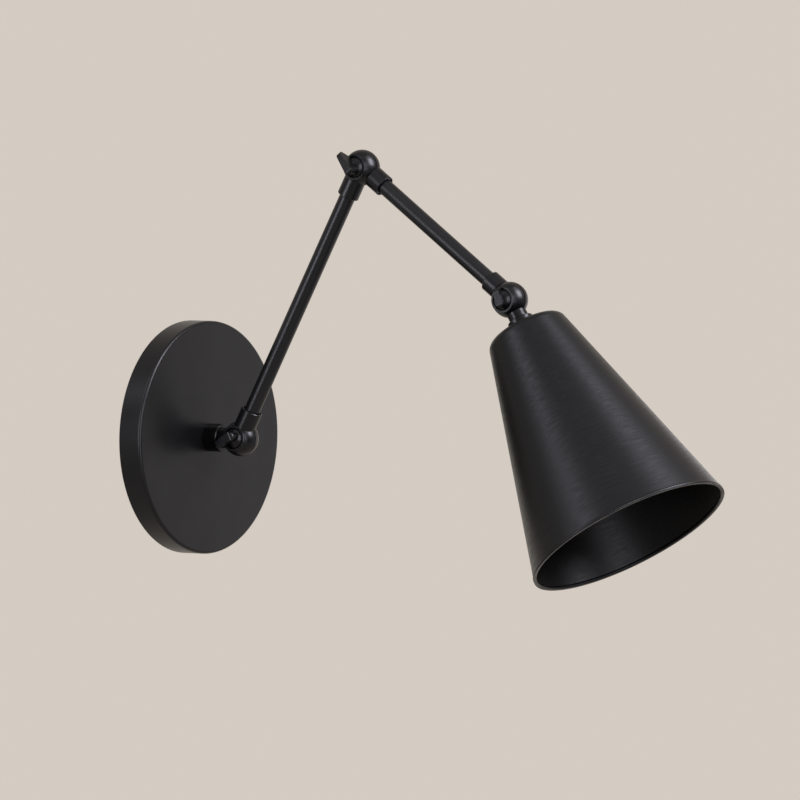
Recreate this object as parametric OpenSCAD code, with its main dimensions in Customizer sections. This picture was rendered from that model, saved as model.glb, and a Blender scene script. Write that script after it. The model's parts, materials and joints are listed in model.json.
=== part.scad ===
// Wall lamp on a folding double arm with a cone shade.
// The wall is the plane Y = 0, the lamp stands out towards -Y, and +Z is up.
// The origin is the centre of the round wall plate's back.
// Every arm angle is measured in the plane of the arms, from straight up (0) through
// straight out from the wall (90) to straight down (180).

/* [Wall plate] */
// Diameter of the round wall plate
plate_d = 140; // [110:1:180]
// How far the plate's face stands off the wall
plate_depth = 15.6; // [13:0.1:17]
// Thickness of the plate's sheet
plate_wall = 1.2; // [0.8:0.1:2]
// Rounding of the plate's front edge
plate_edge_r = 1.8; // [1:0.1:3]

/* [Mounting strap] */
// Width of the strap behind the plate
strap_w = 18; // [14:1:24]
// Thickness of the strap
strap_t = 2; // [1.5:0.1:3]
// Distance between the middles of the two box slots
slot_spacing = 79.4; // [74:0.1:84]
// Length of each box slot, end to end
slot_length = 15; // [10:0.5:20]
// Width of each box slot
slot_w = 4.6; // [4:0.1:6]
// Gap between the strap's bent ends and the plate's rim
ear_gap = 2; // [1:0.1:4]
// Diameter of the headless screws that hold the plate's rim to the strap
grub_d = 4; // [3:0.5:5]
// Length of those screws
grub_length = 8; // [6:0.5:10]

/* [Stem] */
// Distance from the wall to the middle of the first ball
stem_reach = 38.5; // [36:0.5:60]
// Diameter of the swivel collar on the plate
collar_d = 16.8; // [16:0.1:22]
// Length of the swivel collar
collar_length = 10; // [9.5:0.5:10.5]
// Diameter of the neck that turns in the swivel collar
stem_neck_d = 12; // [11:0.1:12.4]
// Outside diameter of the hollow threaded nipples
nipple_d = 9.9; // [9.4:0.1:10]
// Bore of the hollow threaded nipples
nipple_bore_d = 7; // [5:0.1:7.6]

/* [Ball knuckles] */
// Diameter of the three split balls
ball_d = 21.4; // [21:0.1:23]
// Distance from a ball's middle to the flat face round its thumb screw
flat_x = 8.2; // [7.6:0.1:8.6]
// Diameter of that flat face
flat_d = 16; // [15.6:0.1:17]
// Diameter of the recess that the screw's head sits in
recess_d = 13; // [12.6:0.1:13.6]
// Depth of that recess
recess_depth = 2.4; // [1.6:0.1:2.6]
// Thickness of the friction ring between two ball halves
ring_t = 0.6; // [0.4:0.1:1]
// How far each arm's middle line lies to its own side of the split
arm_offset = 1.5; // [0:0.1:2]

/* [Arms] */
// Lower arm, from ball middle to ball middle
lower_length = 183.8; // [120:0.1:260]
// Upper arm, from ball middle to ball middle
upper_length = 132.4; // [90:0.1:220]
// Diameter of the arm rods
rod_d = 9.53; // [8:0.01:10.5]
// Wall of the arm rods
rod_wall = 0.9; // [0.7:0.1:1.4]
// Diameter of the collars that the rods sit in
socket_d = 13; // [12:0.1:14]
// Distance from a ball's middle to the end of its rod collar
socket_end = 19.2; // [18:0.1:24]
// Diameter of the lead inside the arms
lead_d = 5; // [4:0.1:5.4]

/* [Arm positions] */
// Angle of the lower arm
lower_angle = 27.5; // [10:0.1:60]
// Angle of the upper arm
upper_angle = 125.25; // [100:0.05:130]
// Angle of the shade's middle line
shade_angle = 147.3; // [100:0.1:180]

/* [Thumb screws] */
// Diameter of the screws' shanks
screw_d = 5; // [4:0.1:5.6]
// Diameter of the round head under the wing
head_d = 12; // [11.4:0.1:12.4]
// How far the round head rises to its crown
crown_h = 3.2; // [2:0.1:4]
// Width of the wing at its outer edge
wing_w = 18; // [14:0.1:19]
// Width of the wing where it leaves the head
wing_root_w = 10.4; // [7:0.1:11]
// How far the middle of the wing's outer edge lies to one side of the screw's middle line
wing_lean = 4; // [0:0.1:5]
// Thickness of the wing at its heel, over the screw
wing_heel_t = 5.2; // [4:0.1:6]
// Thickness of the wing at its tip, on the side to which it leans
wing_tip_t = 2.6; // [2:0.1:3.6]
// Rounding of the wing's outer corners
wing_corner_r = 2.4; // [1.5:0.1:4]
// Distance from the first ball's middle to its wing's outer edge
first_wing_reach = 16; // [12:0.1:20]
// Distance from the elbow ball's middle to its wing's outer edge
elbow_wing_reach = 17; // [12:0.1:20]
// Distance from the shade ball's middle to its wing's outer edge
shade_wing_reach = 12.6; // [12:0.1:20]
// Direction in which the first ball's wing points
first_wing_angle = 62; // [0:0.1:180]
// Direction in which the elbow's wing points
elbow_wing_angle = 142; // [0:0.1:180]
// Direction in which the shade ball's wing points
shade_wing_angle = 159; // [0:0.1:180]

/* [Shade] */
// Diameter of the shade's flat top, measured to the sharp corner
shade_top_d = 46.9; // [42:0.1:60]
// Diameter of the shade's mouth
shade_mouth_d = 122.7; // [90:0.1:160]
// Height of the shade
shade_h = 141.5; // [110:0.5:190]
// Thickness of the shade's sheet
shade_wall = 1; // [0.8:0.1:2]
// Rounding between the shade's top and its side
shade_corner_r = 5.5; // [3:0.1:8]
// Distance from the shade ball's middle to the shade's top
shade_drop = 20; // [19:0.1:24]
// Diameter of the rolled bead round the mouth
bead_d = 2.2; // [1.6:0.1:3]
// Diameter of the check ring on top of the shade
check_d = 15.6; // [14:0.1:20]
// Height of the check ring
check_t = 6.4; // [3:0.1:7]
// Diameter of the neck that runs from the shade ball to the shade's top
shade_neck_d = 11.8; // [11:0.1:13]

/* [Lamp holder] */
// Bore of the screw shell that takes the bulb's cap
shell_bore_d = 26.6; // [26.2:0.1:27]
// Depth of that screw shell
shell_depth = 23; // [20:0.5:26]
// Outside diameter of the lamp holder's skirt
skirt_d = 36; // [34:0.5:38]
// Height of the lamp holder's skirt
skirt_h = 34; // [32:0.5:40]
// Height of the cap that the skirt screws into
holder_cap_h = 15; // [13:0.5:18]

/* [Hidden] */
$fn = 96;

// Colours: satin black outside, and the plain metals of the fittings inside
black = [0.05, 0.05, 0.055];
dark_steel = [0.32, 0.33, 0.34];
zinc = [0.66, 0.67, 0.68];
brass = [0.78, 0.62, 0.3];
earth_green = [0.12, 0.45, 0.2];
lead_grey = [0.2, 0.2, 0.22];
holder_black = [0.09, 0.085, 0.08];

// Clearances: a turning fit, a seated fit, a ball half past the other arm's collar
turn_gap = 0.05;
seat_gap = 0.05;
sweep_gap = 0.3;
lead_gap = 0.3;
overlap = 1;

ball_r = ball_d / 2;
face_x = ring_t / 2;
sweep_r = ball_r + sweep_gap;
recess_floor_x = flat_x - recess_depth;
flat_chamfer = 0.4;

// Hollow inside each ball half, where the lead passes round the screw
pocket_r = ball_r - 3.2;
post_r = screw_d / 2 + 1.5;
bore_z = post_r + 1;
pocket_end_x = recess_floor_x - 1.4;
tapped_end_x = ball_r - 3;

rod_seat_z = sweep_r + 1;
lead_bore_r = lead_d / 2 + lead_gap;
mouth_r = socket_d / 2 - 0.7;
mouth_depth = 0.8;
edge_chamfer = 0.4;

// The stem runs from the first ball towards the wall, so its distances are from the ball
plate_face_z = stem_reach - plate_depth;
collar_front_z = plate_face_z - collar_length;
lip_t = 2.4;
stem_flange_d = stem_neck_d + 2;
stem_flange_t = 1.8;
spring_washer_t = 0.8;
chamber_d = collar_d - 2.2;
flange_z = collar_front_z + lip_t + seat_gap;
washer_z = flange_z + stem_flange_t + seat_gap;
retainer_z = washer_z + spring_washer_t + seat_gap;
retainer_t = plate_face_z - retainer_z - seat_gap;
stem_bore_r = 3;

// Nuts and washers inside the plate
nut_across = 14;
nut_t = 3.2;
tooth_washer_t = 0.8;
tooth_washer_d = 15;
tooth_count = 8;
nipple_tail = 1;
strap_centre_r = nipple_d / 2 + seat_gap;

plate_r = plate_d / 2;
plate_inner_r = plate_r - plate_wall;
ear_t = strap_t;
ear_out_z = plate_inner_r - ear_gap;
ear_h = plate_depth - plate_wall - 2.5;
grub_y = -plate_depth / 2;
grub_recess = 0.5;
hex_key_d = 2;
earth_z = 17;
earth_d = 4;
earth_head_d = 7.6;
earth_head_h = 2.2;

// The shade's distances run from the shade ball along the shade's middle line
shade_neck_end = shade_drop - seat_gap;
check_z = shade_neck_end - check_t;
shade_nipple_z = rod_seat_z + 0.6;
holder_z = shade_drop + shade_wall + seat_gap + nut_t + seat_gap;
skirt_z = holder_z + holder_cap_h - 6;
shell_z = skirt_z + skirt_h - shell_depth - 2;
holder_top_t = 2.5;
skirt_wall = 2.6;
cap_wall = 2;
shell_wall = 0.5;
contact_r = 5;
contact_recess = 1.4;
skirt_floor_t = 4;
terminal_x = 8;
terminal_hole_r = 1.5;

// Slope of the shade's side from its middle line, and the centre of its rounded corner
slope = atan((shade_mouth_d - shade_top_d) / 2 / shade_h);
corner_r = min(shade_corner_r, shade_top_d / 4);
corner_x = shade_top_d / 2 + corner_r * tan(slope) - corner_r / cos(slope);

// Middles of the balls
function along(angle) = [0, -sin(angle), cos(angle)];
ball_1 = [0, -stem_reach, 0];
ball_2 = ball_1 + lower_length * along(lower_angle);
ball_3 = ball_2 + upper_length * along(upper_angle);

// Places its children with their Z axis along an arm direction, at a ball's middle
module at_ball(middle, angle) {
    translate(middle) rotate([angle, 0, 0]) children();
}

// Lays its children's Z axis along X; side is 1 for +X and -1 for -X
module along_x(side) {
    rotate([0, side * 90, 0]) rotate([0, 0, 90 - side * 90]) children();
}

// A tube on the Z axis from z = low to z = high
module tube(low, high, outer_r, inner_r) {
    difference() {
        translate([0, 0, low]) cylinder(h = high - low, r = outer_r);
        translate([0, 0, low - overlap]) cylinder(h = high - low + 2 * overlap, r = inner_r);
    }
}

// A cylinder on the Z axis with a chamfered far end
module chamfered(low, high, r, chamfer) {
    translate([0, 0, low]) cylinder(h = high - low - chamfer, r = r);
    translate([0, 0, high - chamfer]) cylinder(h = chamfer, r1 = r, r2 = r - chamfer);
}

// One half of a ball, cut off square at far_x from its middle
module half_ball(side, far_x) {
    along_x(side) intersection() {
        sphere(r = ball_r);
        translate([0, 0, face_x]) cylinder(h = far_x - face_x, r = ball_r + overlap);
    }
}

// The half on the screw's side ends in a raised flat face
module flat_half() {
    half_ball(-1, flat_x - flat_chamfer);
    along_x(-1) chamfered(flat_x / 2, flat_x, flat_d / 2, flat_chamfer);
}

// A round neck for one ball half, cut away where the other half turns past it
module neck(side, offset_x, end_z, r) {
    difference() {
        translate([offset_x, 0, 0]) rotate([0, 0, 90 + side * 90]) cylinder(h = end_z, r = r);
        along_x(-side) intersection() {
            sphere(r = sweep_r);
            translate([0, 0, -face_x]) cylinder(h = 2 * sweep_r, r = 2 * sweep_r);
        }
    }
}

// What is taken out of a ball half: the hollow for the lead and the screw's hole
module ball_hollow(side, hole_end) {
    along_x(side) {
        difference() {
            cylinder(h = pocket_end_x, r = pocket_r);
            translate([0, 0, -overlap]) cylinder(h = pocket_end_x + 2 * overlap, r = post_r);
        }
        cylinder(h = hole_end, r = screw_d / 2 + turn_gap);
    }
}

// The ball half on the screw's side, with its neck and the recess for the screw's head
module recessed_half(offset_x, end_z, r, bore_r) {
    difference() {
        union() {
            flat_half();
            neck(-1, offset_x, end_z, r);
        }
        along_x(-1) translate([0, 0, recess_floor_x])
            cylinder(h = recess_depth + overlap, r = recess_d / 2);
        ball_hollow(-1, flat_x);
        translate([offset_x, 0, bore_z]) cylinder(h = end_z, r = bore_r);
    }
}

// The ball half on the far side, with its neck and the hole tapped for the screw
module tapped_half(offset_x, end_z, r, bore_r) {
    difference() {
        union() {
            half_ball(1, 2 * ball_r);
            neck(1, offset_x, end_z, r);
        }
        ball_hollow(1, tapped_end_x);
        translate([offset_x, 0, bore_z]) rotate([0, 0, 180]) cylinder(h = end_z, r = bore_r);
    }
}

// What is taken out of an arm's collar for the rod, and round the rod at its mouth
module rod_seat(side) {
    translate([side * arm_offset, 0, 0]) rotate([0, 0, 90 + side * 90]) {
        translate([0, 0, rod_seat_z]) cylinder(h = socket_end, r = rod_d / 2 + seat_gap);
        translate([0, 0, socket_end - mouth_depth]) cylinder(h = mouth_depth + overlap, r = mouth_r);
        difference() {
            translate([0, 0, socket_end - edge_chamfer]) cylinder(h = overlap, r = socket_d);
            translate([0, 0, socket_end - edge_chamfer])
                cylinder(h = edge_chamfer, r1 = socket_d / 2, r2 = socket_d / 2 - edge_chamfer);
        }
    }
}

// The end of an arm on the screw's side of a ball
module recessed_arm_end() {
    difference() {
        recessed_half(-arm_offset, socket_end, socket_d / 2, lead_bore_r);
        rod_seat(-1);
    }
}

// The end of an arm on the far side of a ball
module tapped_arm_end() {
    difference() {
        tapped_half(arm_offset, socket_end, socket_d / 2, lead_bore_r);
        rod_seat(1);
    }
}

// The straight tube between two ball knuckles
module rod(length, side) {
    translate([side * arm_offset, 0, 0])
        tube(rod_seat_z + seat_gap, length - rod_seat_z - seat_gap, rod_d / 2, rod_d / 2 - rod_wall);
}

// The lead that lies inside a rod and both its collars
module lead(length, side) {
    translate([side * arm_offset, 0, sweep_r + seat_gap])
        cylinder(h = length - 2 * (sweep_r + seat_gap), r = lead_d / 2);
}

// A thin ring that the two halves of a ball grip
module friction_ring() {
    outer_r = ball_r - 0.8;
    along_x(1) tube(-face_x, face_x - turn_gap, outer_r, pocket_r + 0.3);
}

// Outline of the wing: it widens outwards, leans to one side and has two round outer corners.
// It is drawn with the screw's axis upwards.
module wing_outline(root_z, reach) {
    r = min(wing_corner_r, wing_w / 2 - 0.5, (reach - root_z) / 2 - 0.2);
    corner_y = reach - r;
    flare = [for (s = [-1, 1]) ((wing_w - wing_root_w) / 2 + s * wing_lean) / (reach - root_z)];
    tilt = [for (f = flare) atan(f)];
    corner_x = [for (k = [0, 1])
        wing_root_w / 2 + (corner_y - root_z) * flare[k] - r / cos(tilt[k])];
    polygon([
        [-wing_root_w / 2, root_z],
        [wing_root_w / 2, root_z],
        [corner_x[1] + r * cos(tilt[1]), corner_y - r * sin(tilt[1])],
        [corner_x[1], reach],
        [-corner_x[0], reach],
        [-corner_x[0] - r * cos(tilt[0]), corner_y - r * sin(tilt[0])]
    ]);
    for (k = [0, 1]) translate([(2 * k - 1) * corner_x[k], corner_y]) circle(r = r);
}

// Section of the wing across the screw's axis: a round heel that narrows to a round tip,
// which ends just inside the outline's corner
module wing_section() {
    tip_inset = 0.2;
    heel_r = wing_heel_t / 2;
    tip_r = wing_tip_t / 2;
    heel_x = heel_r + wing_lean - wing_w / 2;
    tip_x = wing_w / 2 + wing_lean - tip_r - tip_inset;
    taper = asin((heel_r - tip_r) / (tip_x - heel_x));
    translate([heel_x, 0]) circle(r = heel_r);
    translate([tip_x, 0]) circle(r = tip_r);
    polygon([
        [heel_x + heel_r * sin(taper), heel_r * cos(taper)],
        [heel_x + heel_r * sin(taper), -heel_r * cos(taper)],
        [tip_x + tip_r * sin(taper), -tip_r * cos(taper)],
        [tip_x + tip_r * sin(taper), tip_r * cos(taper)]
    ]);
}

// A thumb screw with its shank along X and its wing in the direction of angle
module thumb_screw(angle, reach) {
    crown_z = flat_x - 0.4;
    crown_r = (pow(head_d / 2, 2) + pow(crown_h, 2)) / (2 * crown_h);
    head_z = recess_floor_x + seat_gap;
    rotate([angle, 0, 0]) along_x(-1) {
        translate([0, 0, 0.4 - tapped_end_x])
            cylinder(h = head_z + tapped_end_x + 0.2, r = screw_d / 2);
        translate([0, 0, head_z]) cylinder(h = crown_z - head_z, r = head_d / 2);
        intersection() {
            translate([0, 0, crown_z + crown_h - crown_r]) sphere(r = crown_r);
            translate([0, 0, crown_z - 0.2]) cylinder(h = crown_h + overlap, r = head_d / 2);
        }
        intersection() {
            rotate([90, 0, 0]) translate([0, 0, -wing_heel_t])
                linear_extrude(height = 2 * wing_heel_t) wing_outline(crown_z - 0.3, reach);
            linear_extrude(height = reach + overlap) wing_section();
        }
    }
}

module hex_nut(low, across, thickness, bore_r) {
    difference() {
        translate([0, 0, low]) cylinder(h = thickness, r = across / 2 / cos(30), $fn = 6);
        translate([0, 0, low - overlap]) cylinder(h = thickness + 2 * overlap, r = bore_r);
    }
}

module wall_plate() {
    color(black) rotate([90, 0, 0]) difference() {
        rotate_extrude() difference() {
            union() {
                square([plate_r, plate_depth - plate_edge_r]);
                square([plate_r - plate_edge_r, plate_depth]);
                translate([plate_r - plate_edge_r, plate_depth - plate_edge_r])
                    circle(r = plate_edge_r);
            }
            translate([0, -overlap]) square([plate_inner_r, plate_depth - plate_wall + overlap]);
        }
        cylinder(h = plate_depth + overlap, r = nipple_d / 2 + seat_gap);
        for (s = [0, 180]) rotate([0, 0, s]) translate([0, plate_inner_r - overlap, -grub_y])
            rotate([-90, 0, 0]) cylinder(h = plate_wall + 2 * overlap, r = grub_d / 2 + seat_gap);
    }
}

module strap_slot(z) {
    half = (slot_length - slot_w) / 2;
    translate([0, overlap, z]) rotate([90, 0, 0]) {
        for (s = [-1, 1]) translate([0, s * half, 0]) cylinder(h = strap_t + 2 * overlap, r = slot_w / 2);
        translate([-slot_w / 2, -half, 0]) cube([slot_w, 2 * half, strap_t + 2 * overlap]);
    }
}

module mounting_strap() {
    color(zinc) difference() {
        union() {
            translate([-strap_w / 2, -strap_t, -ear_out_z]) cube([strap_w, strap_t, 2 * ear_out_z]);
            for (s = [-1, 1]) translate([-strap_w / 2, -ear_h, s * (ear_out_z - ear_t / 2) - ear_t / 2])
                cube([strap_w, ear_h, ear_t]);
        }
        for (s = [-1, 1]) {
            strap_slot(s * slot_spacing / 2);
            translate([0, grub_y, s * (ear_out_z - 2 * ear_t)]) rotate([s > 0 ? 0 : 180, 0, 0])
                cylinder(h = 4 * ear_t, r = grub_d / 2 + seat_gap);
        }
        translate([0, overlap, 0]) rotate([90, 0, 0])
            cylinder(h = strap_t + 2 * overlap, r = strap_centre_r);
        translate([0, overlap, earth_z]) rotate([90, 0, 0])
            cylinder(h = strap_t + 2 * overlap, r = earth_d / 2 + seat_gap);
    }
}

// A headless screw, sunk just below the rim; turn is 0 for the top one, 180 for the bottom one
module rim_screw(turn) {
    color(dark_steel) rotate([0, turn, 0]) difference() {
        translate([0, grub_y, plate_r - grub_recess - grub_length])
            cylinder(h = grub_length, r = grub_d / 2);
        translate([0, grub_y, plate_r - grub_recess - grub_length / 3])
            cylinder(h = grub_length, r = hex_key_d / 2 / cos(30), $fn = 6);
    }
}

module top_rim_screw() {
    rim_screw(0);
}

module bottom_rim_screw() {
    rim_screw(180);
}

module earth_screw() {
    slot_half = 0.5;
    color(earth_green) translate([0, 0, earth_z]) rotate([90, 0, 0]) difference() {
        union() {
            cylinder(h = strap_t + earth_head_h / 2, r = earth_d / 2);
            translate([0, 0, strap_t + seat_gap])
                chamfered(0, earth_head_h, earth_head_d / 2, edge_chamfer);
        }
        translate([-earth_head_d, -slot_half, strap_t + earth_head_h / 2])
            cube([2 * earth_head_d, 2 * slot_half, earth_head_h]);
    }
}

// The hollow threaded tube that ties the swivel collar to the plate
module plate_nipple() {
    inner_z = plate_face_z + plate_wall + tooth_washer_t + nut_t + 3 * seat_gap + nipple_tail;
    color(brass) at_ball(ball_1, -90)
        tube(retainer_z + 0.4, inner_z, nipple_d / 2, nipple_bore_d / 2);
}

module plate_tooth_washer() {
    tooth_w = 1.6;
    low = plate_face_z + plate_wall + seat_gap;
    color(zinc) at_ball(ball_1, -90) difference() {
        translate([0, 0, low]) cylinder(h = tooth_washer_t, r = tooth_washer_d / 2);
        translate([0, 0, low - overlap])
            cylinder(h = tooth_washer_t + 2 * overlap, r = nipple_d / 2 + seat_gap);
        for (k = [0:tooth_count - 1]) rotate([0, 0, k * 360 / tooth_count])
            translate([tooth_washer_d / 2 - 1.2, -tooth_w / 2, low - overlap])
                cube([3, tooth_w, tooth_washer_t + 2 * overlap]);
    }
}

module plate_lock_nut() {
    low = plate_face_z + plate_wall + tooth_washer_t + 2 * seat_gap;
    color(zinc) at_ball(ball_1, -90) hex_nut(low, nut_across, nut_t, nipple_d / 2 + seat_gap);
}

// The ring on the plate's face in which the stem turns
module swivel_collar() {
    color(black) at_ball(ball_1, -90) difference() {
        union() {
            translate([0, 0, collar_front_z + edge_chamfer])
                cylinder(h = collar_length - edge_chamfer, r = collar_d / 2);
            translate([0, 0, collar_front_z])
                cylinder(h = edge_chamfer, r1 = collar_d / 2 - edge_chamfer, r2 = collar_d / 2);
        }
        translate([0, 0, collar_front_z - overlap])
            cylinder(h = lip_t + 2 * overlap, r = stem_neck_d / 2 + turn_gap);
        translate([0, 0, collar_front_z + lip_t])
            cylinder(h = collar_length, r = chamber_d / 2);
    }
}

// The ring screwed into the collar's back, which keeps the stem's flange in
module swivel_retainer() {
    color(dark_steel) at_ball(ball_1, -90)
        tube(retainer_z, retainer_z + retainer_t, chamber_d / 2 - seat_gap, nipple_d / 2 + seat_gap);
}

module swivel_spring_washer() {
    color(dark_steel) at_ball(ball_1, -90)
        tube(washer_z, washer_z + spring_washer_t, stem_flange_d / 2 - 0.2, stem_bore_r + 1);
}

// The wall end of the first ball, with the neck and flange that turn in the collar
module stem_knuckle() {
    color(black) at_ball(ball_1, -90) {
        tapped_half(0, flange_z, stem_neck_d / 2, stem_bore_r);
        tube(flange_z, flange_z + stem_flange_t, stem_flange_d / 2, stem_bore_r);
    }
}

module first_friction_ring() {
    color(dark_steel) translate(ball_1) friction_ring();
}

module first_thumb_screw() {
    color(black) translate(ball_1) thumb_screw(first_wing_angle, first_wing_reach);
}

module lower_arm_foot() {
    color(black) at_ball(ball_1, lower_angle) recessed_arm_end();
}

module lower_rod() {
    color(black) at_ball(ball_1, lower_angle) rod(lower_length, -1);
}

module lower_lead() {
    color(lead_grey) at_ball(ball_1, lower_angle) lead(lower_length, -1);
}

module lower_arm_head() {
    color(black) at_ball(ball_2, lower_angle + 180) recessed_arm_end();
}

module elbow_friction_ring() {
    color(dark_steel) translate(ball_2) friction_ring();
}

module elbow_thumb_screw() {
    color(black) translate(ball_2) thumb_screw(elbow_wing_angle, elbow_wing_reach);
}

module upper_arm_foot() {
    color(black) at_ball(ball_2, upper_angle) tapped_arm_end();
}

module upper_rod() {
    color(black) at_ball(ball_2, upper_angle) rod(upper_length, 1);
}

module upper_lead() {
    color(lead_grey) at_ball(ball_2, upper_angle) lead(upper_length, 1);
}

module upper_arm_head() {
    color(black) at_ball(ball_3, upper_angle + 180) tapped_arm_end();
}

module shade_friction_ring() {
    color(dark_steel) translate(ball_3) friction_ring();
}

module shade_thumb_screw() {
    color(black) translate(ball_3) thumb_screw(shade_wing_angle, shade_wing_reach);
}

// The shade's half of the last ball, with the neck that the nipple screws into
module shade_knuckle() {
    color(black) at_ball(ball_3, shade_angle) difference() {
        recessed_half(0, shade_neck_end, shade_neck_d / 2, lead_bore_r);
        translate([0, 0, shade_nipple_z - seat_gap])
            cylinder(h = shade_drop, r = nipple_d / 2 + seat_gap);
    }
}

// The wider ring round the neck, which covers the joint on the shade's top
module check_ring() {
    color(black) at_ball(ball_3, shade_angle) difference() {
        union() {
            chamfered(check_z + check_t / 2, check_z + check_t, check_d / 2, edge_chamfer);
            translate([0, 0, check_z]) cylinder(h = edge_chamfer,
                r1 = check_d / 2 - edge_chamfer, r2 = check_d / 2);
            translate([0, 0, check_z + edge_chamfer])
                cylinder(h = check_t / 2, r = check_d / 2);
        }
        translate([0, 0, check_z - overlap])
            cylinder(h = check_t + 2 * overlap, r = shade_neck_d / 2 + seat_gap);
    }
}

module shade_nipple() {
    color(brass) at_ball(ball_3, shade_angle)
        tube(shade_nipple_z, holder_z + holder_top_t, nipple_d / 2, nipple_bore_d / 2);
}

// Half section of the shade, moved inwards by inset: a flat top, a round corner, a sloping side
module shade_section(inset) {
    r = corner_r - inset;
    mouth_x = shade_mouth_d / 2 - inset / cos(slope);
    tail = inset > 0 ? overlap : 0;
    translate([corner_x, corner_r]) circle(r = r);
    polygon([
        [0, inset],
        [corner_x, inset],
        [corner_x + r * cos(slope), corner_r - r * sin(slope)],
        [mouth_x + tail * tan(slope), shade_h + tail],
        [0, shade_h + tail]
    ]);
}

module shade() {
    bead_r = bead_d / 2;
    color(black) at_ball(ball_3, shade_angle) translate([0, 0, shade_drop]) difference() {
        union() {
            rotate_extrude() difference() {
                shade_section(0);
                shade_section(shade_wall);
            }
            rotate_extrude() translate([shade_mouth_d / 2 - bead_r, shade_h - bead_r])
                circle(r = bead_r);
        }
        translate([0, 0, -overlap]) cylinder(h = shade_wall + 2 * overlap, r = nipple_d / 2 + seat_gap);
    }
}

module shade_lock_nut() {
    color(zinc) at_ball(ball_3, shade_angle)
        hex_nut(shade_drop + shade_wall + seat_gap, nut_across, nut_t, nipple_d / 2 + seat_gap);
}

// The top of the lamp holder, screwed on the nipple
module holder_cap() {
    cap_r = skirt_d / 2;
    color(holder_black) at_ball(ball_3, shade_angle) difference() {
        union() {
            translate([0, 0, holder_z]) cylinder(h = 4, r1 = cap_r - 4, r2 = cap_r);
            translate([0, 0, holder_z + 4]) cylinder(h = holder_cap_h - 4, r = cap_r);
        }
        translate([0, 0, holder_z + holder_top_t]) cylinder(h = 3, r1 = cap_r - cap_wall - 3, r2 = cap_r - cap_wall);
        translate([0, 0, holder_z + holder_top_t + 3])
            cylinder(h = holder_cap_h, r = cap_r - cap_wall);
        translate([0, 0, holder_z - overlap])
            cylinder(h = holder_top_t + 2 * overlap, r = nipple_d / 2 + seat_gap);
    }
}

// The skirt round the screw shell, screwed into the cap
module holder_skirt() {
    inner_r = shell_bore_d / 2 + shell_wall + seat_gap;
    thread_r = skirt_d / 2 - cap_wall - seat_gap;
    color(holder_black) at_ball(ball_3, shade_angle) difference() {
        union() {
            translate([0, 0, skirt_z]) cylinder(h = skirt_h, r = thread_r);
            chamfered(holder_z + holder_cap_h + seat_gap, skirt_z + skirt_h, skirt_d / 2, 1);
        }
        translate([0, 0, shell_z - seat_gap]) cylinder(h = skirt_h, r = inner_r);
        translate([0, 0, skirt_z - overlap])
            cylinder(h = shell_z - skirt_z - skirt_floor_t + overlap, r = thread_r - skirt_wall);
        translate([0, 0, shell_z - contact_recess])
            cylinder(h = contact_recess + overlap, r = contact_r + seat_gap);
        for (s = [-1, 1]) translate([s * terminal_x, 0, skirt_z])
            cylinder(h = skirt_h, r = terminal_hole_r);
    }
}

// The metal shell that the bulb screws into
module screw_shell() {
    color(brass) at_ball(ball_3, shade_angle) difference() {
        translate([0, 0, shell_z])
            cylinder(h = shell_depth, r = shell_bore_d / 2 + shell_wall);
        translate([0, 0, shell_z + shell_wall]) cylinder(h = shell_depth, r = shell_bore_d / 2);
        translate([0, 0, shell_z - overlap]) cylinder(h = 3 * overlap, r = contact_r);
    }
}

// The contact in the middle of the shell's floor, just below it
module centre_contact() {
    base_t = 1.2;
    color(brass) at_ball(ball_3, shade_angle) {
        translate([0, 0, shell_z - seat_gap - base_t]) cylinder(h = base_t, r = contact_r);
        translate([0, 0, shell_z - seat_gap - 0.2])
            cylinder(h = shell_wall + 0.2, r1 = contact_r - 1.4, r2 = contact_r - 2.4);
    }
}

wall_plate();
mounting_strap();
top_rim_screw();
bottom_rim_screw();
earth_screw();
plate_nipple();
plate_lock_nut();
plate_tooth_washer();
swivel_collar();
swivel_retainer();
stem_knuckle();
swivel_spring_washer();
first_friction_ring();
first_thumb_screw();
lower_arm_foot();
lower_rod();
lower_lead();
lower_arm_head();
elbow_friction_ring();
elbow_thumb_screw();
upper_arm_foot();
upper_rod();
upper_lead();
upper_arm_head();
shade_friction_ring();
shade_thumb_screw();
shade_knuckle();
check_ring();
shade_nipple();
shade();
shade_lock_nut();
holder_cap();
holder_skirt();
screw_shell();
centre_contact();
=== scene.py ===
import json
import math

import bmesh
import bpy
from mathutils import Matrix, Vector


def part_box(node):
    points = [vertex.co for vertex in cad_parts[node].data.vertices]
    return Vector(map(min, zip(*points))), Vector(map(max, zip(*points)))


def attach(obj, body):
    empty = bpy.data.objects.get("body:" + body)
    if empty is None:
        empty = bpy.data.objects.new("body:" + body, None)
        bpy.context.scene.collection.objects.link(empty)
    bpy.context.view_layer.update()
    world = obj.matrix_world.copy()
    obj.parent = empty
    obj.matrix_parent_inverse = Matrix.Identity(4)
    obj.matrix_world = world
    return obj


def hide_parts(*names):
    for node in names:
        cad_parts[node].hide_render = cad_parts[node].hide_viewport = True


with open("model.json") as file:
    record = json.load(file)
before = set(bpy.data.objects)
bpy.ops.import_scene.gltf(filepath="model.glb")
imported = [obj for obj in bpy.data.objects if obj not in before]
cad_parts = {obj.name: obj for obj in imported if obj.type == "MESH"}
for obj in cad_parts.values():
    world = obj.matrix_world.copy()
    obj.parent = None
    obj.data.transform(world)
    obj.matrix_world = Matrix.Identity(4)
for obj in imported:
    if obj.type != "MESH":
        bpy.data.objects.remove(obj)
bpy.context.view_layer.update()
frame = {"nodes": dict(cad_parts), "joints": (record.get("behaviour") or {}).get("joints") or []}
nodes = frame["nodes"]
joints = {joint["name"]: joint for joint in frame["joints"]}


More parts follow.
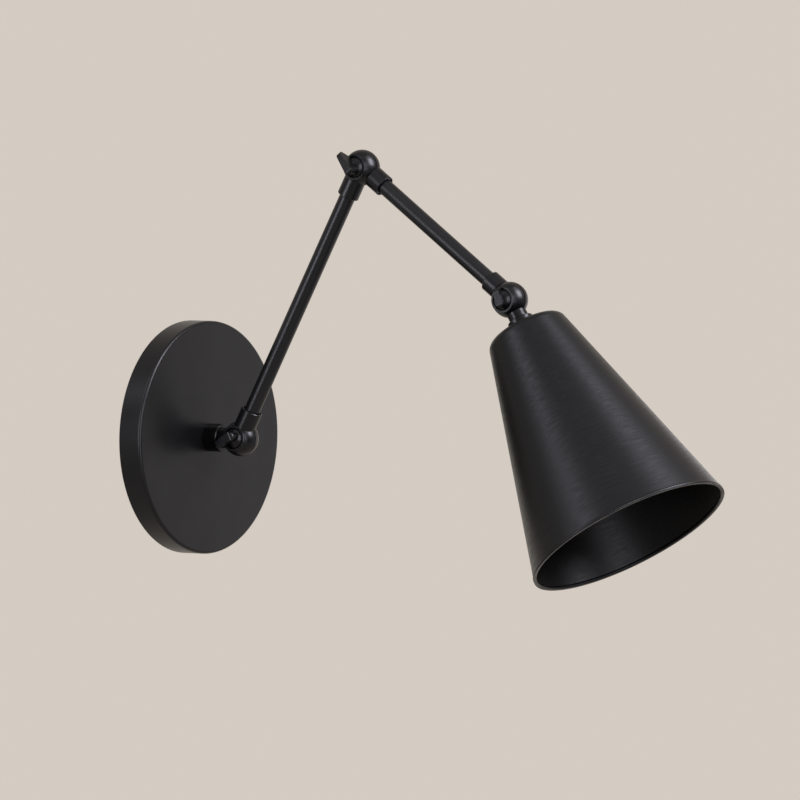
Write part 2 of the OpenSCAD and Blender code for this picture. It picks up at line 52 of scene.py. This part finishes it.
# Wall plate
# A dished round plate, spun from steel sheet and powder coated in satin black. It stands
# on the wall on its own rim. The coat has a very fine, soft orange-peel surface.
noise_low, noise_high = 0.3, 0.7  # most of a noise lies between these


def coat_nodes(name, base, roughness, specular):
    """A new material with its shader, and the Object coordinates of the piece."""
    material = bpy.data.materials.new(name)
    material.use_nodes = True
    tree = material.node_tree
    shader = tree.nodes["Principled BSDF"]
    shader.inputs["Base Color"].default_value = (*base, 1)
    shader.inputs["Roughness"].default_value = roughness
    shader.inputs["Specular IOR Level"].default_value = specular
    place = tree.nodes.new("ShaderNodeTexCoord").outputs["Object"]
    return material, tree, shader, place


def speckle(tree, place, scale, detail):
    """Noise over a place in metres, in features of 1 / scale metres."""
    noise = tree.nodes.new("ShaderNodeTexNoise")
    noise.inputs["Scale"].default_value = scale
    noise.inputs["Detail"].default_value = detail
    tree.links.new(place, noise.inputs["Vector"])
    return noise.outputs["Fac"]


def spread(tree, factor, first, last, start=noise_low, end=noise_high):
    """Goes from first to last while the factor goes from start to end."""
    ramp = tree.nodes.new("ShaderNodeMapRange")
    ramp.inputs["From Min"].default_value = start
    ramp.inputs["From Max"].default_value = end
    ramp.inputs["To Min"].default_value = first
    ramp.inputs["To Max"].default_value = last
    tree.links.new(factor, ramp.inputs["Value"])
    return ramp.outputs["Result"]


def tint(tree, factor, dark, light):
    """Colour that goes from dark to light with a noise."""
    ramp = tree.nodes.new("ShaderNodeValToRGB")
    for stop, position, colour in zip(ramp.color_ramp.elements, (noise_low, noise_high),
                                      (dark, light)):
        stop.position = position
        stop.color = (*colour, 1)
    tree.links.new(factor, ramp.inputs["Fac"])
    return ramp.outputs["Color"]


def relief(tree, shader, factor, height, strength):
    """Raises the surface by a noise, height in metres."""
    bump = tree.nodes.new("ShaderNodeBump")
    bump.inputs["Distance"].default_value = height
    bump.inputs["Strength"].default_value = strength
    tree.links.new(factor, bump.inputs["Height"])
    tree.links.new(bump.outputs["Normal"], shader.inputs["Normal"])


def powder_coat(name, black, roughness, specular, peel):
    """Satin black powder coat; peel is the depth of its orange-peel surface in metres."""
    dark, light, blue = 0.8 * black, 1.25 * black, 1.15
    uneven = 0.015
    material, tree, shader, place = coat_nodes(name, (black, black, black), roughness, specular)
    shader.inputs["Specular Tint"].default_value = (0.92, 0.93, 1, 1)
    cloud = speckle(tree, place, scale=60, detail=2)
    grain = speckle(tree, place, scale=1400, detail=2)
    tree.links.new(tint(tree, cloud, (dark, dark, blue * dark), (light, light, blue * light)),
                   shader.inputs["Base Color"])
    tree.links.new(spread(tree, grain, roughness - uneven, roughness + uneven),
                   shader.inputs["Roughness"])
    relief(tree, shader, grain, height=peel, strength=1)
    return material


def dress(material, *names):
    """Gives CAD nodes their finish."""
    for name in names:
        nodes[name].data.materials.clear()
        nodes[name].data.materials.append(material)


plate_coat = powder_coat("plate_satin_black", black=0.0022, roughness=0.31, specular=0.165,
                         peel=0.000002)
dress(plate_coat, "wall_plate")


# Mounting strap and the screws of the plate
# A flat strap of zinc plated steel, bent up at both ends, is screwed to the wiring box.
# Two headless screws hold the plate's rim to it, and a green screw takes the earth wire.
def bare_metal(name, dark, light, roughness):
    """Bare or plated metal with a fine rolled grain and faint stains."""
    uneven = 0.08
    material, tree, shader, place = coat_nodes(name, light, roughness, specular=0.5)
    shader.inputs["Metallic"].default_value = 1
    stain = speckle(tree, place, scale=120, detail=3)
    grain = speckle(tree, place, scale=2500, detail=2)
    tree.links.new(tint(tree, stain, dark, light), shader.inputs["Base Color"])
    tree.links.new(spread(tree, grain, roughness - uneven, roughness + uneven),
                   shader.inputs["Roughness"])
    relief(tree, shader, grain, height=0.000006, strength=0.6)
    return material


zinc = bare_metal("zinc_plate", dark=(0.5, 0.51, 0.53), light=(0.68, 0.69, 0.71),
                  roughness=0.34)
dark_steel = bare_metal("blackened_steel", dark=(0.06, 0.06, 0.065),
                        light=(0.12, 0.12, 0.125), roughness=0.4)
earth_green = bare_metal("green_dyed_zinc", dark=(0.02, 0.2, 0.05), light=(0.04, 0.3, 0.08),
                         roughness=0.38)
dress(zinc, "mounting_strap", "plate_tooth_washer", "plate_lock_nut", "shade_lock_nut")
dress(dark_steel, "top_rim_screw", "bottom_rim_screw", "swivel_retainer",
      "swivel_spring_washer", "first_friction_ring", "elbow_friction_ring",
      "shade_friction_ring")
dress(earth_green, "earth_screw")


# Threaded nipples
# Two hollow nipples turned from brass, with a fine rolled thread all the way along. One ties
# the swivel collar to the plate, the other holds the shade and the lamp holder.
def helix_wall(low, high, pitch, crest_r, root_r, per_turn=48, per_pitch=6):
    """A threaded wall round the Z axis, cut flat at low and high."""
    mesh = bmesh.new()
    start = low - pitch
    turns = math.ceil((high - low) / pitch) + 2
    wave = (crest_r - root_r) / 2
    same_point = pitch / 500
    ring = [mesh.verts.new((root_r + wave * (1 - math.cos(2 * math.pi * step / per_pitch)), 0,
                            start + pitch * step / per_pitch)) for step in range(per_pitch + 1)]
    edges = [mesh.edges.new(pair) for pair in zip(ring, ring[1:])]
    bmesh.ops.spin(mesh, geom=ring + edges, cent=(0, 0, 0), axis=(0, 0, 1),
                   dvec=(0, 0, pitch / per_turn), angle=2 * math.pi * turns,
                   steps=per_turn * turns)
    bmesh.ops.remove_doubles(mesh, verts=mesh.verts, dist=same_point)
    for height, normal in ((low, (0, 0, -1)), (high, (0, 0, 1))):
        everything = mesh.verts[:] + mesh.edges[:] + mesh.faces[:]
        bmesh.ops.bisect_plane(mesh, geom=everything, plane_co=(0, 0, height),
                               plane_no=normal, clear_outer=True)
    return mesh


def rim_edges(mesh, height):
    """The open edges at one height."""
    near = 0.00001
    return [edge for edge in mesh.edges if edge.is_boundary
            and all(abs(vert.co.z - height) < near for vert in edge.verts)]


def flat_ring(mesh, height, reach):
    """Adds a flat ring from the open edge at one height to a new edge at the radius reach."""
    made = bmesh.ops.extrude_edge_only(mesh, edges=rim_edges(mesh, height))["geom"]
    for vert in (part for part in made if isinstance(part, bmesh.types.BMVert)):
        vert.co.xy = vert.co.xy.normalized() * reach
    return [part for part in made if isinstance(part, bmesh.types.BMEdge) and part.is_boundary]


def close_bore(mesh, low, high, bore_r):
    """Adds flat ends and a smooth bore to a threaded wall."""
    inner = flat_ring(mesh, low, bore_r) + flat_ring(mesh, high, bore_r)
    bmesh.ops.bridge_loops(mesh, edges=inner)
    bmesh.ops.recalc_face_normals(mesh, faces=mesh.faces)


def put_down(mesh, name, place, body, material, sharp=math.radians(35)):
    """Turns a bmesh into a piece that rides on a body."""
    bmesh.ops.transform(mesh, matrix=place, verts=mesh.verts)
    for edge in mesh.edges:
        edge.smooth = edge.is_boundary or edge.calc_face_angle(0) < sharp
    for face in mesh.faces:
        face.smooth = True
    data = bpy.data.meshes.new(name)
    mesh.to_mesh(data)
    mesh.free()
    piece = bpy.data.objects.new(name, data)
    bpy.context.scene.collection.objects.link(piece)
    piece.data.materials.append(material)
    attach(piece, body)


def on_line(start, towards):
    """The turn and move that put the Z axis on a line from start."""
    turn = Vector(towards).to_track_quat("Z", "Y").to_matrix().to_4x4()
    return Matrix.Translation(start) @ turn


brass = bare_metal("turned_brass", dark=(0.6, 0.42, 0.17), light=(0.76, 0.56, 0.26),
                   roughness=0.28)
nipple_pitch = 0.00094
nipple_crest_r, nipple_root_r, nipple_bore_r = 0.00495, 0.00445, 0.0035

low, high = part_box("plate_nipple")
nipple = helix_wall(-high.y, -low.y, nipple_pitch, nipple_crest_r, nipple_root_r)
close_bore(nipple, -high.y, -low.y, nipple_bore_r)
put_down(nipple, "threaded_plate_nipple", on_line((0, 0, 0), (0, -1, 0)), "wall_mount", brass)
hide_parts("plate_nipple")


# Swivel and ball knuckles
# Small turned and die cast pieces with the same black coat, but smoother and glossier than
# the sheet. Each ball is two halves on a thin friction ring, and the screw clamps them.
knuckle_coat = powder_coat("knuckle_gloss_black", black=0.0012, roughness=0.3, specular=0.18,
                           peel=0.0000003)
dress(knuckle_coat, "swivel_collar", "stem_knuckle", "lower_arm_foot", "lower_arm_head",
      "upper_arm_foot", "upper_arm_head", "shade_knuckle", "check_ring", "first_thumb_screw",
      "elbow_thumb_screw", "shade_thumb_screw")


# Arm rods and their leads
# The rods are drawn steel tube under the black coat, with a soft sheen along their length.
# The lead inside them has a woven black sleeve.
def reckon(tree, operation, *values, kind="ShaderNodeMath"):
    """One step of arithmetic on values that are fixed or come out of other nodes."""
    step = tree.nodes.new(kind)
    step.operation = operation
    for socket, value in zip(step.inputs, values):
        if isinstance(value, bpy.types.NodeSocket):
            tree.links.new(value, socket)
        else:
            socket.default_value = value
    return step.outputs


def woven_sleeve():
    """Black woven sleeve: two crossing sets of threads."""
    material, tree, shader, place = coat_nodes("woven_sleeve", (0.02, 0.02, 0.022),
                                               roughness=0.85, specular=0.3)
    weave = []
    for turn in (math.radians(45), math.radians(-45)):
        mapping = tree.nodes.new("ShaderNodeMapping")
        mapping.inputs["Rotation"].default_value = (turn, 0, 0)
        threads = tree.nodes.new("ShaderNodeTexWave")
        threads.inputs["Scale"].default_value = 300
        tree.links.new(place, mapping.inputs["Vector"])
        tree.links.new(mapping.outputs["Vector"], threads.inputs["Vector"])
        weave.append(threads.outputs["Fac"])
    higher = reckon(tree, "MAXIMUM", *weave)["Value"]
    tree.links.new(tint(tree, higher, dark=(0.01, 0.01, 0.011), light=(0.035, 0.035, 0.038)),
                   shader.inputs["Base Color"])
    relief(tree, shader, higher, height=0.0002, strength=1)
    return material


rod_coat = powder_coat("rod_satin_black", black=0.0018, roughness=0.32, specular=0.2,
                       peel=0.0000006)
dress(rod_coat, "lower_rod", "upper_rod")
dress(woven_sleeve(), "lower_lead", "upper_lead")


# Shade
# A cone spun from steel sheet over a former, with a rolled bead round its mouth. It is brushed
# on the lathe and then blackened, so fine lines run round it. Inside, a darker black is painted
# shade.
def round_lines(tree, place, centre, degrees, around, along):
    """The place turned on a lathe, whose line runs at degrees through centre.

    It comes out stretched: the direction round the line by around, the way along it by along.
    """
    lathe = tree.nodes.new("ShaderNodeMapping")
    lathe.vector_type = "TEXTURE"
    lathe.inputs["Location"].default_value = centre
    lathe.inputs["Rotation"].default_value = (math.radians(degrees), 0, 0)
    tree.links.new(place, lathe.inputs["Vector"])
    turned = tree.nodes.new("ShaderNodeSeparateXYZ")
    tree.links.new(lathe.outputs["Vector"], turned.inputs["Vector"])
    across = tree.nodes.new("ShaderNodeCombineXYZ")
    for axis in ("X", "Y"):
        tree.links.new(turned.outputs[axis], across.inputs[axis])
    heading = reckon(tree, "NORMALIZE", across.outputs["Vector"], kind="ShaderNodeVectorMath")
    sides = tree.nodes.new("ShaderNodeSeparateXYZ")
    tree.links.new(heading["Vector"], sides.inputs["Vector"])
    stretched = tree.nodes.new("ShaderNodeCombineXYZ")
    for axis, part, factor in (("X", sides, around), ("Y", sides, around), ("Z", turned, along)):
        scaled = reckon(tree, "MULTIPLY", part.outputs[axis], factor)
        tree.links.new(scaled["Value"], stretched.inputs[axis])
    return stretched.outputs["Vector"]


def faces_away(tree, place, middle):
    """1 where the surface faces away from the point middle, 0 where it faces it."""
    outwards = reckon(tree, "SUBTRACT", place, middle, kind="ShaderNodeVectorMath")
    facing = reckon(tree, "DOT_PRODUCT", outwards["Vector"], place.node.outputs["Normal"],
                    kind="ShaderNodeVectorMath")
    return reckon(tree, "GREATER_THAN", facing["Value"], 0)["Value"]


def mixed(tree, factor, first, second):
    """The first colour where the factor is 0, the second where it is 1."""
    colour_a, colour_b, colour_out = 6, 7, 2  # by place, because their names repeat
    mix = tree.nodes.new("ShaderNodeMix")
    mix.data_type = "RGBA"
    tree.links.new(factor, mix.inputs["Factor"])
    tree.links.new(first, mix.inputs[colour_a])
    tree.links.new(second, mix.inputs[colour_b])
    return mix.outputs[colour_out]


def lathe_brushed(name, centre, degrees, middle):
    """Blackened sheet with fine lines round the line at degrees through centre.

    The inside, which faces the point middle, is a darker black, painted shade for the dim
    hollow, and rougher.
    """
    duller = 0.05
    material, tree, shader, place = coat_nodes(name, (0.016, 0.016, 0.017), roughness=0.38,
                                               specular=0.5)
    shader.inputs["Metallic"].default_value = 1
    lines = round_lines(tree, place, centre, degrees, around=6, along=1700)
    brushing = speckle(tree, lines, scale=1, detail=1)
    outside = faces_away(tree, place, middle)
    # painted shade: the inside takes a darker black than the outside, for the dim hollow of the
    # cone
    painted_shade_inside = tint(tree, speckle(tree, place, scale=900, detail=2),
                   dark=(0.0075, 0.0075, 0.008), light=(0.0095, 0.0095, 0.01))
    brushed = tint(tree, brushing, dark=(0.0135, 0.0138, 0.0149),
                   light=(0.0183, 0.0187, 0.0203))
    tree.links.new(mixed(tree, outside, painted_shade_inside, brushed), shader.inputs["Base Color"])
    finish = spread(tree, brushing, first=0.44, last=0.34)
    rougher_inside = reckon(tree, "MULTIPLY_ADD", outside, -duller, duller)["Value"]
    tree.links.new(reckon(tree, "ADD", finish, rougher_inside)["Value"],
                   shader.inputs["Roughness"])
    relief(tree, shader, brushing, height=0.000025, strength=1)
    return material


def span_along(name, start, towards):
    """The distances along a line from start between which a CAD node lies."""
    steps = [(vert.co - start).dot(towards) for vert in nodes[name].data.vertices]
    return min(steps), max(steps)


def along_arm(degrees):
    """Direction in the arms' plane, from straight up through straight out from the wall."""
    return Vector((0, -math.sin(math.radians(degrees)), math.cos(math.radians(degrees))))


shade_ball = Vector(joints["shade_knuckle"]["pos_m"])
shade_angle = 147.3  # degrees from straight up, as along_arm counts them
shade_way = along_arm(shade_angle)
shade_line = on_line(shade_ball, shade_way)
shade_low, shade_high = span_along("shade", shade_ball, shade_way)
shade_middle = shade_ball + shade_way * (shade_low + shade_high) / 2
dress(lathe_brushed("shade_brushed_black", shade_ball, shade_angle, shade_middle), "shade")

low, high = span_along("shade_nipple", shade_ball, shade_way)
nipple = helix_wall(low, high, nipple_pitch, nipple_crest_r, nipple_root_r)
close_bore(nipple, low, high, nipple_bore_r)
put_down(nipple, "threaded_shade_nipple", shade_line, "shade_head", brass)
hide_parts("shade_nipple")


# Lamp holder
# A black moulded holder with a loose skirt, screwed on the nipple inside the shade. The
# shell in it is brass sheet with the wide rolled thread of a screw cap.
def moulded_plastic():
    """Black phenolic moulding with a faint, dull grain."""
    material, tree, shader, place = coat_nodes("black_phenolic", (0.014, 0.013, 0.012),
                                               roughness=0.36, specular=0.5)
    grain = speckle(tree, place, scale=900, detail=3)
    tree.links.new(tint(tree, grain, dark=(0.012, 0.011, 0.0105), light=(0.018, 0.017, 0.016)),
                   shader.inputs["Base Color"])
    tree.links.new(spread(tree, grain, first=0.3, last=0.42), shader.inputs["Roughness"])
    relief(tree, shader, grain, height=0.00002, strength=0.4)
    return material


dress(moulded_plastic(), "holder_cap", "holder_skirt")
dress(brass, "centre_contact")

shell_pitch, shell_wall, contact_hole_r = 0.00363, 0.0004, 0.005
shell_crest_r, shell_root_r = 0.0138, 0.01305
low, high = span_along("screw_shell", shade_ball, shade_way)
shell = helix_wall(low, high, shell_pitch, shell_crest_r, shell_root_r, per_turn=64,
                   per_pitch=10)
flat_ring(shell, low, contact_hole_r)
bmesh.ops.recalc_face_normals(shell, faces=shell.faces)
bmesh.ops.solidify(shell, geom=shell.faces, thickness=shell_wall)
bmesh.ops.recalc_face_normals(shell, faces=shell.faces)
put_down(shell, "rolled_screw_shell", shade_line, "shade_head", brass)
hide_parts("screw_shell")


# Floor, light and camera
# The stage is a plain pale floor that fades into a pale backdrop. Soft boxes light the lamp
# from all sides, and the camera stands where the photograph's stood.
backdrop, floor_colour = (0.66, 0.6, 0.54), (0.38, 0.35, 0.295)
floor_radius, floor_height = 6, -0.42
fade_start, fade_end = 0.55, 1.4  # distances from the wall plate
lamp_middle = Vector((0, -0.15, 0.05))

floor_mesh = bmesh.new()
bmesh.ops.create_circle(floor_mesh, cap_ends=True, segments=96, radius=floor_radius)
bmesh.ops.transform(floor_mesh, verts=floor_mesh.verts,
                    matrix=Matrix.Translation((lamp_middle.x, lamp_middle.y, floor_height)))
floor_data = bpy.data.meshes.new("floor")
floor_mesh.to_mesh(floor_data)
floor_mesh.free()
floor = bpy.data.objects.new("floor", floor_data)
bpy.context.scene.collection.objects.link(floor)

floor_paint, floor_tree, floor_shader, floor_place = coat_nodes("floor_paint", floor_colour,
                                                                roughness=0.9, specular=0.1)
floor_reach = reckon(floor_tree, "LENGTH", floor_place, kind="ShaderNodeVectorMath")["Value"]
floor_fade = spread(floor_tree, floor_reach, first=1, last=0, start=fade_start, end=fade_end)
floor_tree.links.new(floor_fade, floor_shader.inputs["Alpha"])
floor.data.materials.append(floor_paint)

world = bpy.data.worlds.new("studio")
bpy.context.scene.world = world
world.use_nodes = True
sky = world.node_tree
seen = sky.nodes["Background"]
seen.inputs["Color"].default_value = (*backdrop, 1)
lighting = sky.nodes.new("ShaderNodeBackground")
lighting.inputs["Color"].default_value = (1, 1, 1, 1)
lighting.inputs["Strength"].default_value = 0.4
rays = sky.nodes.new("ShaderNodeLightPath")
shown = rays.outputs["Is Camera Ray"]
for ray in ("Is Glossy Ray", "Is Transmission Ray"):
    shown = reckon(sky, "MAXIMUM", shown, rays.outputs[ray])["Value"]
choose = sky.nodes.new("ShaderNodeMixShader")
for output, socket in zip((shown, lighting.outputs[0], seen.outputs[0]), choose.inputs):
    sky.links.new(output, socket)
sky.links.new(choose.outputs[0], sky.nodes["World Output"].inputs["Surface"])


def from_side(heading, height):
    """Direction from the lamp, in degrees; heading 0 is straight out, 90 is to the right."""
    heading, height = math.radians(heading), math.radians(height)
    return Vector((math.sin(heading) * math.cos(height), -math.cos(heading) * math.cos(height),
                   math.sin(height)))


for name, heading, height, distance, width, tall, power in (
        ("front_box", 14, 34, 2.2, 0.95, 1.3, 110),
        ("right_box", 78, -6, 0.43, 0.2, 0.3, 0.15),
        ("top_box", 18, 58, 0.88, 0.36, 0.36, 2.1),
        ("ceiling_box", -85, 64, 2.2, 1.6, 1.6, 7),
        ("left_high_box", -124, 36, 1.4, 0.35, 0.5, 4.4),
        ("left_box", -109, 3, 1.15, 0.27, 0.6, 8),
        ("camera_box", -36, 8, 3.0, 1.1, 2.6, 92)):  # degrees, metres and watts
    light = bpy.data.lights.new(name, "AREA")
    light.shape = "RECTANGLE"
    light.size, light.size_y, light.energy = width, tall, power
    light.color = (0.96, 0.94, 1)
    box = bpy.data.objects.new(name, light)
    towards = from_side(heading, height)
    box.location = lamp_middle + towards * distance
    box.rotation_mode = "QUATERNION"
    box.rotation_quaternion = towards.to_track_quat("Z", "Y")
    box.visible_camera = False
    bpy.context.scene.collection.objects.link(box)

camera_heading, camera_height, camera_roll = -54.909, 0.894, 1.167  # degrees
camera_distance, focal_px = 5.092168, 8465.192  # fitted to the lamp's outline in the photograph
origin_px = (189.347, 436.65)  # where the middle of the plate's back lies in the picture
middle_px, sensor_mm = 400, 36
back = from_side(camera_heading, camera_height)
turn, roll = math.radians(camera_heading), math.radians(camera_roll)
level = Vector((math.cos(turn), math.sin(turn), 0))
upright = back.cross(level)
right = math.cos(roll) * level + math.sin(roll) * upright
up = math.cos(roll) * upright - math.sin(roll) * level
camera_data = bpy.data.cameras.new("camera")
camera_data.sensor_width = sensor_mm
camera_data.lens = focal_px / (2 * middle_px) * sensor_mm
camera_data.clip_end = 50
camera = bpy.data.objects.new("camera", camera_data)
camera.matrix_world = Matrix.Translation(
    back * camera_distance
    - right * (origin_px[0] - middle_px) / focal_px * camera_distance
    + up * (origin_px[1] - middle_px) / focal_px * camera_distance
) @ Matrix((right, up, back)).transposed().to_4x4()
bpy.context.scene.collection.objects.link(camera)
bpy.context.scene.camera = camera
bpy.context.scene.view_settings.view_transform = "Standard"
